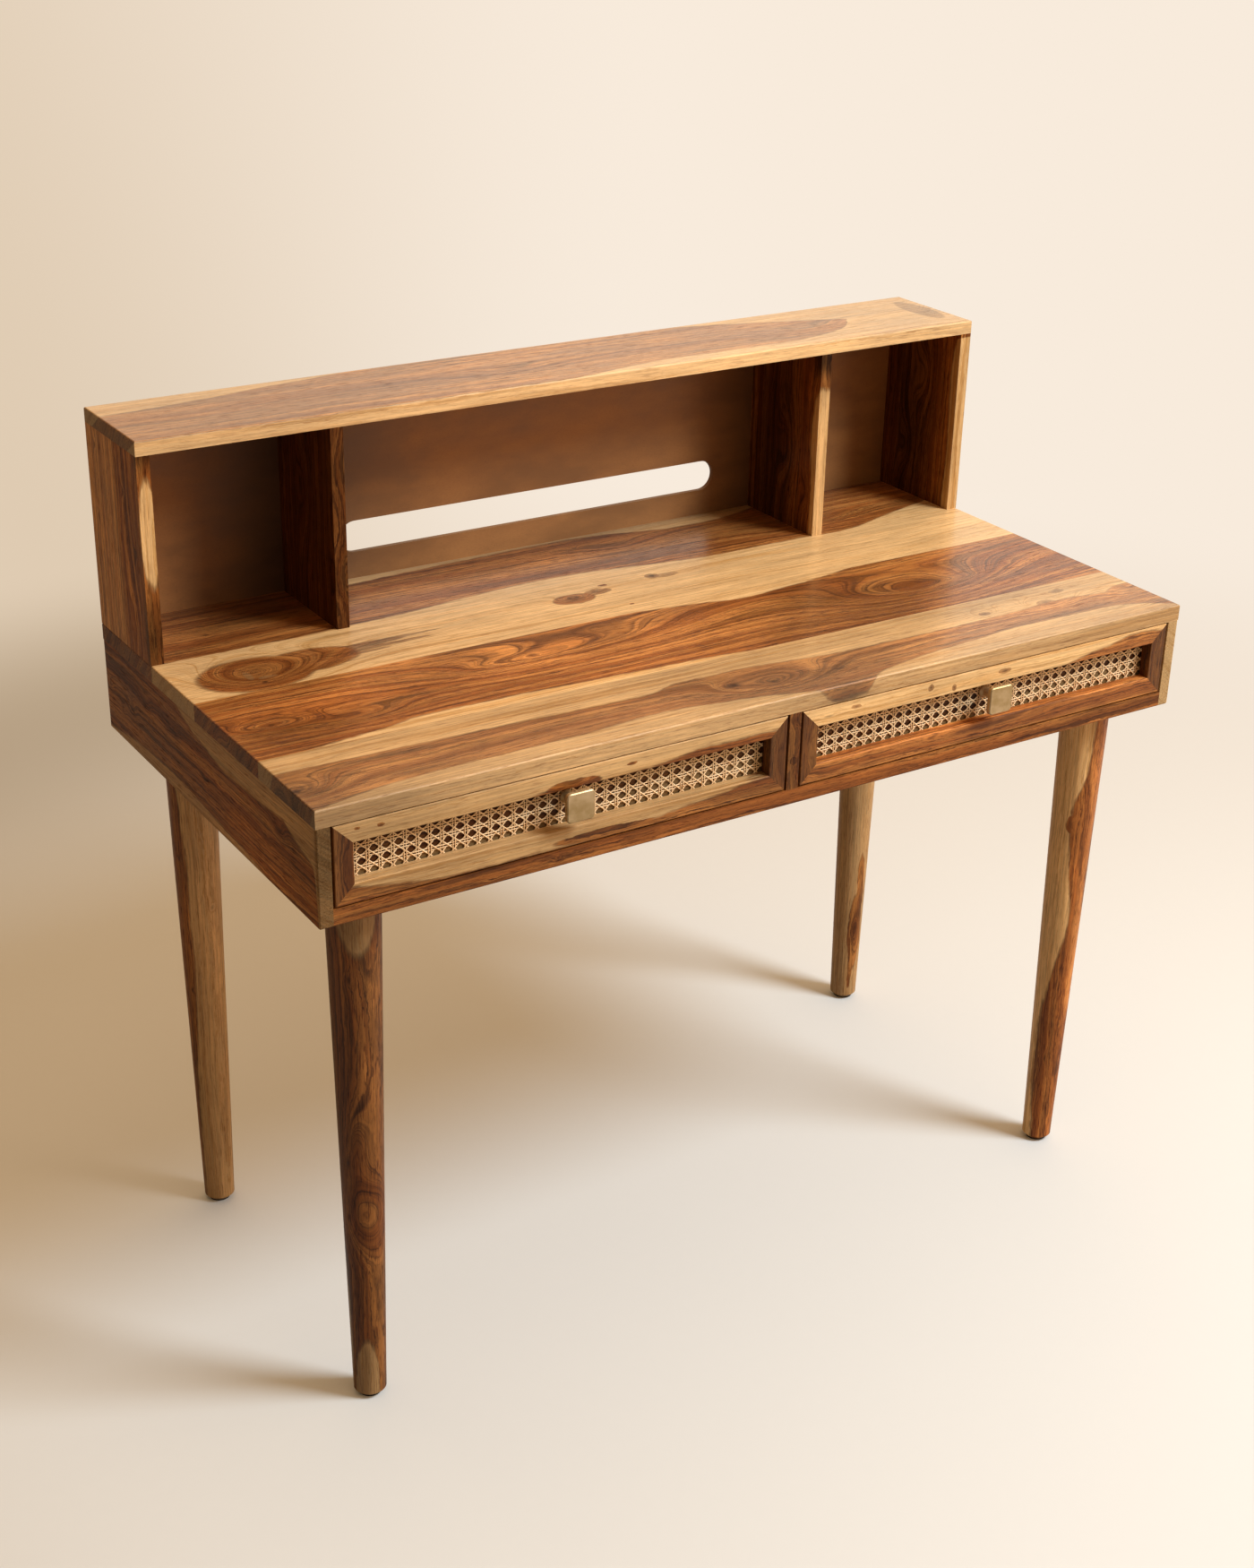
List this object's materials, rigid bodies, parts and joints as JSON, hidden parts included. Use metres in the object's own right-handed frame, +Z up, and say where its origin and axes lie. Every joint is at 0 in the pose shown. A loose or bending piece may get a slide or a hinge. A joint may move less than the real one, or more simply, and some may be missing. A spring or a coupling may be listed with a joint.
{
  "type": "writing desk",
  "caption": "Solid wood writing desk with a low slotted hutch, drawers with caned mitred fronts and square brass knobs, on turned tapering legs.",
  "frame": {"origin": "on the floor, under the middle of the desk's whole box, knob faces included", "axes": "+X to the right along the desk's width, +Y from the drawer fronts to the back, +Z up"},
  "size_m": [1.1, 0.566, 0.995],
  "materials": {
    "sheesham": "satin lacquered rosewood with strong heart and sapwood figure",
    "cane": "natural woven cane, clear lacquered",
    "back_board": "brown stained thin board, matt",
    "plywood": "sealed plywood",
    "drawer_box": "sealed sheesham",
    "runner_wood": "waxed hardwood",
    "brass": "satin brushed",
    "steel": "zinc plated",
    "glide": "black, matt"
  },
  "bodies": {
    "desk": {"back_panel_screws": "steel", "case_back_board": "sheesham", "case_bottom_board": "sheesham", "centre_partition": "sheesham", "centre_stile": "sheesham", "desktop": "sheesham", "drawer_stop_screws": "steel", "drawer_stops": "runner_wood", "front_left_glide": "glide", "front_left_leg": "sheesham", "front_right_glide": "glide", "front_right_leg": "sheesham", "hutch_back_panel": "back_board", "hutch_left_divider": "sheesham", "hutch_left_side": "sheesham", "hutch_right_divider": "sheesham", "hutch_right_side": "sheesham", "hutch_top": "sheesham", "left_drawer_left_runner": "runner_wood", "left_drawer_right_runner": "runner_wood", "left_side_panel": "sheesham", "leg_hanger_bolts": "steel", "leg_tee_nuts": "steel", "rear_left_glide": "glide", "rear_left_leg": "sheesham", "rear_right_glide": "glide", "rear_right_leg": "sheesham", "right_drawer_left_runner": "runner_wood", "right_drawer_right_runner": "runner_wood", "right_side_panel": "sheesham", "runner_screws": "steel", "stile_plug": "sheesham", "stile_screw": "steel"},
    "left_drawer": {"left_drawer_back": "drawer_box", "left_drawer_bottom": "plywood", "left_drawer_cane_panel": "cane", "left_drawer_front_bottom_rail": "sheesham", "left_drawer_front_left_stile": "sheesham", "left_drawer_front_right_stile": "sheesham", "left_drawer_front_top_rail": "sheesham", "left_drawer_inner_front": "drawer_box", "left_drawer_knob": "brass", "left_drawer_knob_screw": "steel", "left_drawer_left_side": "drawer_box", "left_drawer_right_side": "drawer_box"},
    "right_drawer": {"right_drawer_back": "drawer_box", "right_drawer_bottom": "plywood", "right_drawer_cane_panel": "cane", "right_drawer_front_bottom_rail": "sheesham", "right_drawer_front_left_stile": "sheesham", "right_drawer_front_right_stile": "sheesham", "right_drawer_front_top_rail": "sheesham", "right_drawer_inner_front": "drawer_box", "right_drawer_knob": "brass", "right_drawer_knob_screw": "steel", "right_drawer_left_side": "drawer_box", "right_drawer_right_side": "drawer_box"}
  },
  "joints": [
    {"name": "left_drawer_slide", "type": "slide", "parent": "desk", "child": "left_drawer", "axis": [0, -1, 0], "range_m": [0, 0.3]},
    {"name": "right_drawer_slide", "type": "slide", "parent": "desk", "child": "right_drawer", "axis": [0, -1, 0], "range_m": [0, 0.3]}
  ]
}
